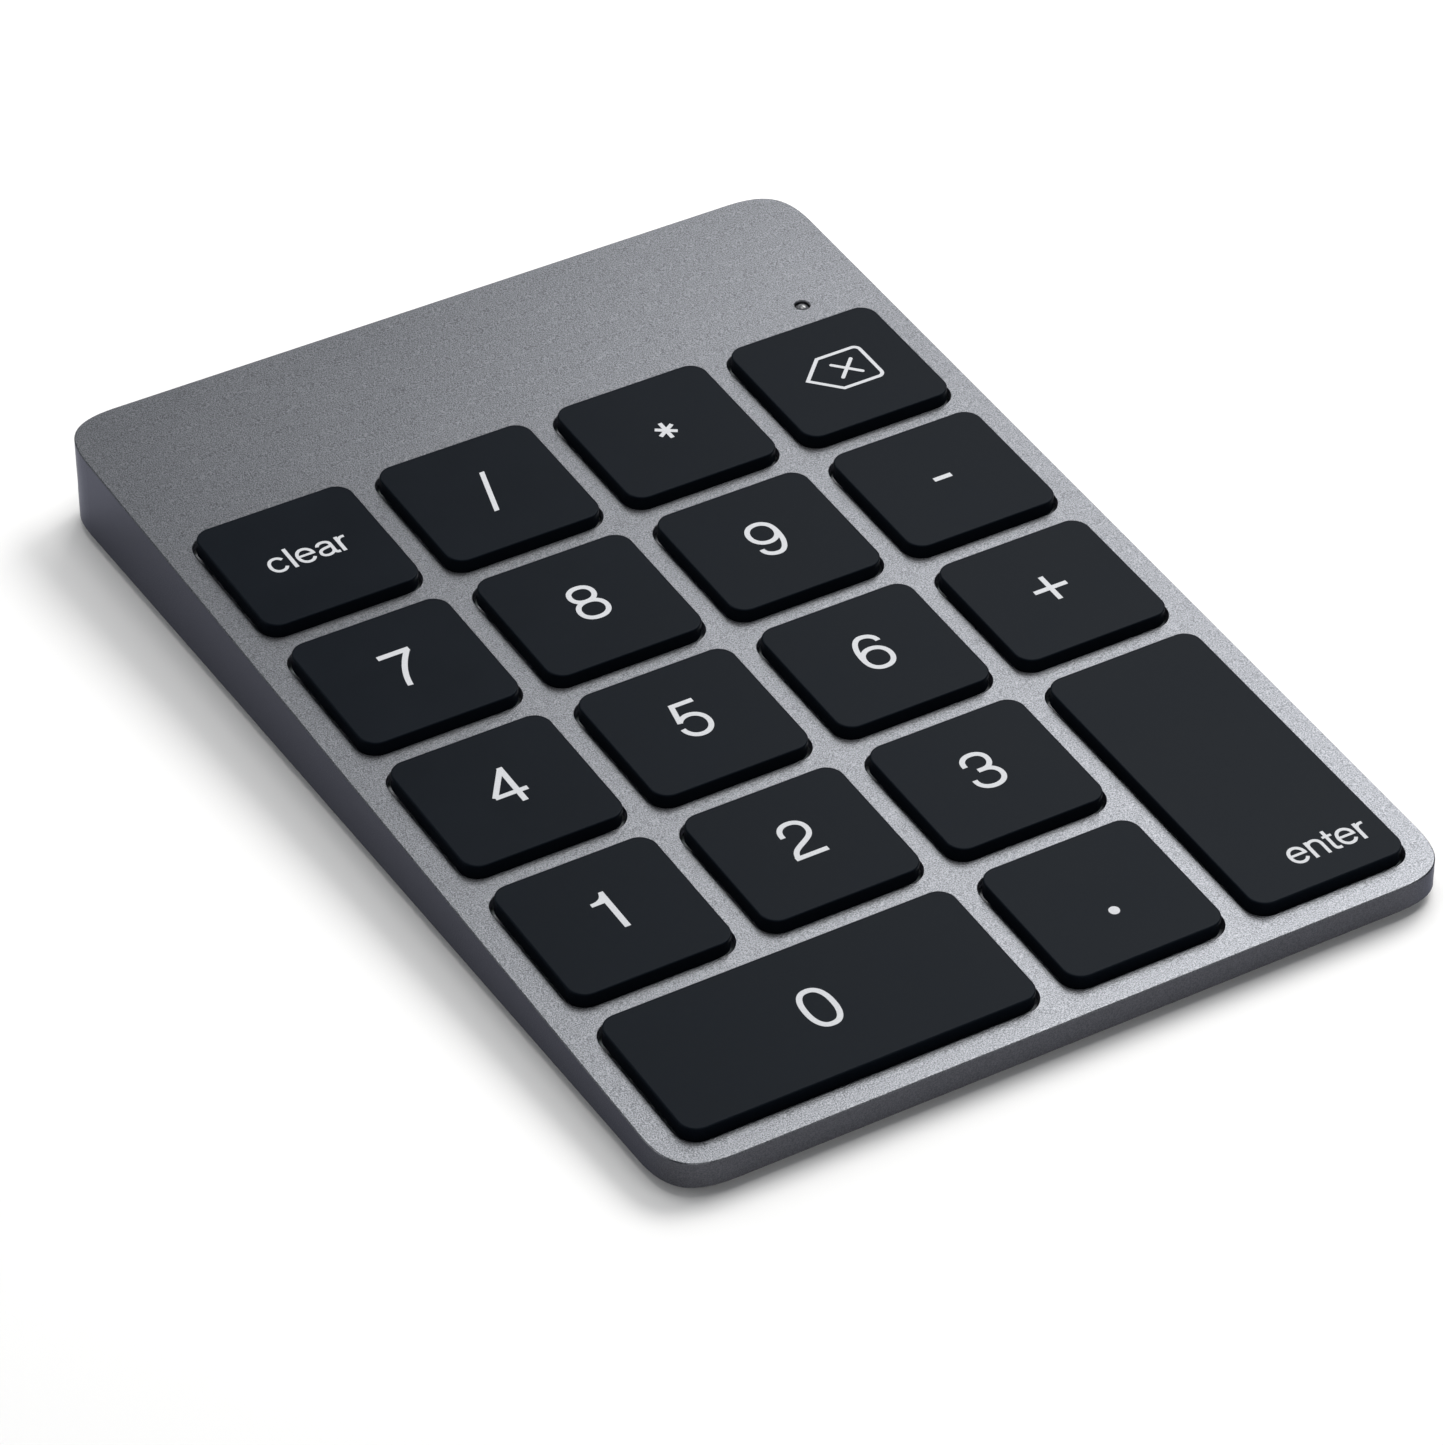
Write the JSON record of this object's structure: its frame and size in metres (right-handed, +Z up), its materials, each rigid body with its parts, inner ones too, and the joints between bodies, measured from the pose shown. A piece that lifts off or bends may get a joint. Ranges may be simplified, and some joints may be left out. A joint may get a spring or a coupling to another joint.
{
  "type": "numeric keypad",
  "caption": "Slim wedge-shaped wireless numeric keypad with a metal case, low scissor-switch keys, a charging port and a power switch.",
  "frame": {"origin": "on the table under the centre of the case", "axes": "+X to the right across the keys, +Y to the rear, +Z up"},
  "size_m": [0.079, 0.1144, 0.0099],
  "materials": {
    "shell_aluminium": "bead-blasted, anodised space grey",
    "cover_plastic": "fine matte texture",
    "foot_rubber": "matte",
    "screw_steel": "black-nickel plated",
    "dome_silicone": "translucent silicone",
    "plate_steel": "pressed stainless sheet",
    "membrane_film": "laminated film with printed tracks",
    "board_laminate": "solder mask over glass-fibre laminate",
    "port_steel": "drawn stainless",
    "connector_plastic": "moulded",
    "knob_plastic": "fine matte texture",
    "led_body": "moulded lamp body",
    "lens_clear": "clear, polished",
    "chip_plastic": "moulded epoxy",
    "battery_foil": "aluminised pouch film",
    "key_plastic": "very fine matte",
    "scissor_plastic": "moulded acetal",
    "wire_steel": "spring wire",
    "legend_ink": "pale laser-marked print on the key tops"
  },
  "bodies": {
    "case": {"top_shell": "shell_aluminium", "bottom_cover": "cover_plastic", "rubber_feet": "foot_rubber", "cover_screws": "screw_steel", "plate_screws": "screw_steel", "board_screws": "screw_steel", "rubber_domes": "dome_silicone", "support_plate": "plate_steel", "membrane": "membrane_film", "circuit_board": "board_laminate", "usb_port_shell": "port_steel", "usb_port_tongue": "connector_plastic", "power_switch_housing": "port_steel", "led_chip": "led_body", "led_lens": "lens_clear", "controller_chip": "chip_plastic", "membrane_connector": "connector_plastic", "battery_connector": "connector_plastic", "battery": "battery_foil", "scissor_0": "scissor_plastic", "scissor_point": "scissor_plastic", "scissor_enter": "scissor_plastic", "scissor_1": "scissor_plastic", "scissor_2": "scissor_plastic", "scissor_3": "scissor_plastic", "scissor_4": "scissor_plastic", "scissor_5": "scissor_plastic", "scissor_6": "scissor_plastic", "scissor_plus": "scissor_plastic", "scissor_7": "scissor_plastic", "scissor_8": "scissor_plastic", "scissor_9": "scissor_plastic", "scissor_minus": "scissor_plastic", "scissor_clear": "scissor_plastic", "scissor_divide": "scissor_plastic", "scissor_multiply": "scissor_plastic", "scissor_backspace": "scissor_plastic"},
    "power_switch_knob": {"power_switch_knob": "knob_plastic"},
    "key_0": {"key_0": "key_plastic"},
    "key_point": {"key_point": "key_plastic"},
    "key_enter": {"key_enter": "key_plastic"},
    "key_1": {"key_1": "key_plastic"},
    "key_2": {"key_2": "key_plastic"},
    "key_3": {"key_3": "key_plastic"},
    "key_4": {"key_4": "key_plastic"},
    "key_5": {"key_5": "key_plastic"},
    "key_6": {"key_6": "key_plastic"},
    "key_plus": {"key_plus": "key_plastic"},
    "key_7": {"key_7": "key_plastic"},
    "key_8": {"key_8": "key_plastic"},
    "key_9": {"key_9": "key_plastic"},
    "key_minus": {"key_minus": "key_plastic"},
    "key_clear": {"key_clear": "key_plastic"},
    "key_divide": {"key_divide": "key_plastic"},
    "key_multiply": {"key_multiply": "key_plastic"},
    "key_backspace": {"key_backspace": "key_plastic"},
    "stabiliser_bar_0": {"stabiliser_bar_0": "wire_steel"},
    "stabiliser_bar_enter": {"stabiliser_bar_enter": "wire_steel"}
  },
  "joints": [
    {"name": "key_0_press", "type": "slide", "parent": "case", "child": "key_0", "axis": [0, 0.0541, -0.9985], "range_m": [0, 0.001], "stiffness_N_per_m": 400, "springref_m": -0.0005, "deforming": ["scissor_0", "rubber_domes"]},
    {"name": "key_point_press", "type": "slide", "parent": "case", "child": "key_point", "axis": [0, 0.0541, -0.9985], "range_m": [0, 0.001], "stiffness_N_per_m": 400, "springref_m": -0.0005, "deforming": ["scissor_point", "rubber_domes"]},
    {"name": "key_enter_press", "type": "slide", "parent": "case", "child": "key_enter", "axis": [0, 0.0541, -0.9985], "range_m": [0, 0.001], "stiffness_N_per_m": 400, "springref_m": -0.0005, "deforming": ["scissor_enter", "rubber_domes"]},
    {"name": "key_1_press", "type": "slide", "parent": "case", "child": "key_1", "axis": [0, 0.0541, -0.9985], "range_m": [0, 0.001], "stiffness_N_per_m": 400, "springref_m": -0.0005, "deforming": ["scissor_1", "rubber_domes"]},
    {"name": "key_2_press", "type": "slide", "parent": "case", "child": "key_2", "axis": [0, 0.0541, -0.9985], "range_m": [0, 0.001], "stiffness_N_per_m": 400, "springref_m": -0.0005, "deforming": ["scissor_2", "rubber_domes"]},
    {"name": "key_3_press", "type": "slide", "parent": "case", "child": "key_3", "axis": [0, 0.0541, -0.9985], "range_m": [0, 0.001], "stiffness_N_per_m": 400, "springref_m": -0.0005, "deforming": ["scissor_3", "rubber_domes"]},
    {"name": "key_4_press", "type": "slide", "parent": "case", "child": "key_4", "axis": [0, 0.0541, -0.9985], "range_m": [0, 0.001], "stiffness_N_per_m": 400, "springref_m": -0.0005, "deforming": ["scissor_4", "rubber_domes"]},
    {"name": "key_5_press", "type": "slide", "parent": "case", "child": "key_5", "axis": [0, 0.0541, -0.9985], "range_m": [0, 0.001], "stiffness_N_per_m": 400, "springref_m": -0.0005, "deforming": ["scissor_5", "rubber_domes"]},
    {"name": "key_6_press", "type": "slide", "parent": "case", "child": "key_6", "axis": [0, 0.0541, -0.9985], "range_m": [0, 0.001], "stiffness_N_per_m": 400, "springref_m": -0.0005, "deforming": ["scissor_6", "rubber_domes"]},
    {"name": "key_plus_press", "type": "slide", "parent": "case", "child": "key_plus", "axis": [0, 0.0541, -0.9985], "range_m": [0, 0.001], "stiffness_N_per_m": 400, "springref_m": -0.0005, "deforming": ["scissor_plus", "rubber_domes"]},
    {"name": "key_7_press", "type": "slide", "parent": "case", "child": "key_7", "axis": [0, 0.0541, -0.9985], "range_m": [0, 0.001], "stiffness_N_per_m": 400, "springref_m": -0.0005, "deforming": ["scissor_7", "rubber_domes"]},
    {"name": "key_8_press", "type": "slide", "parent": "case", "child": "key_8", "axis": [0, 0.0541, -0.9985], "range_m": [0, 0.001], "stiffness_N_per_m": 400, "springref_m": -0.0005, "deforming": ["scissor_8", "rubber_domes"]},
    {"name": "key_9_press", "type": "slide", "parent": "case", "child": "key_9", "axis": [0, 0.0541, -0.9985], "range_m": [0, 0.001], "stiffness_N_per_m": 400, "springref_m": -0.0005, "deforming": ["scissor_9", "rubber_domes"]},
    {"name": "key_minus_press", "type": "slide", "parent": "case", "child": "key_minus", "axis": [0, 0.0541, -0.9985], "range_m": [0, 0.001], "stiffness_N_per_m": 400, "springref_m": -0.0005, "deforming": ["scissor_minus", "rubber_domes"]},
    {"name": "key_clear_press", "type": "slide", "parent": "case", "child": "key_clear", "axis": [0, 0.0541, -0.9985], "range_m": [0, 0.001], "stiffness_N_per_m": 400, "springref_m": -0.0005, "deforming": ["scissor_clear", "rubber_domes"]},
    {"name": "key_divide_press", "type": "slide", "parent": "case", "child": "key_divide", "axis": [0, 0.0541, -0.9985], "range_m": [0, 0.001], "stiffness_N_per_m": 400, "springref_m": -0.0005, "deforming": ["scissor_divide", "rubber_domes"]},
    {"name": "key_multiply_press", "type": "slide", "parent": "case", "child": "key_multiply", "axis": [0, 0.0541, -0.9985], "range_m": [0, 0.001], "stiffness_N_per_m": 400, "springref_m": -0.0005, "deforming": ["scissor_multiply", "rubber_domes"]},
    {"name": "key_backspace_press", "type": "slide", "parent": "case", "child": "key_backspace", "axis": [0, 0.0541, -0.9985], "range_m": [0, 0.001], "stiffness_N_per_m": 400, "springref_m": -0.0005, "deforming": ["scissor_backspace", "rubber_domes"]},
    {"name": "stabiliser_bar_0_turn", "type": "hinge", "parent": "case", "child": "stabiliser_bar_0", "pos_m": [-0.019, -0.04501, 0.00291], "axis": [1, 0, 0], "range_deg": [-11.74, 0.5]},
    {"name": "stabiliser_bar_enter_turn", "type": "hinge", "parent": "case", "child": "stabiliser_bar_enter", "pos_m": [0.0272, -0.03702, 0.00334], "axis": [0, 0.9985, 0.0541], "range_deg": [-11.74, 0.5]},
    {"name": "power_switch_slide", "type": "slide", "parent": "case", "child": "power_switch_knob", "axis": [1, 0, 0], "range_m": [0, 0.002]}
  ],
  "couplings": [
    {"joint": "stabiliser_bar_0_turn", "follows": "key_0_press", "rad_per_m": -196.27},
    {"joint": "stabiliser_bar_enter_turn", "follows": "key_enter_press", "rad_per_m": -196.27}
  ]
}
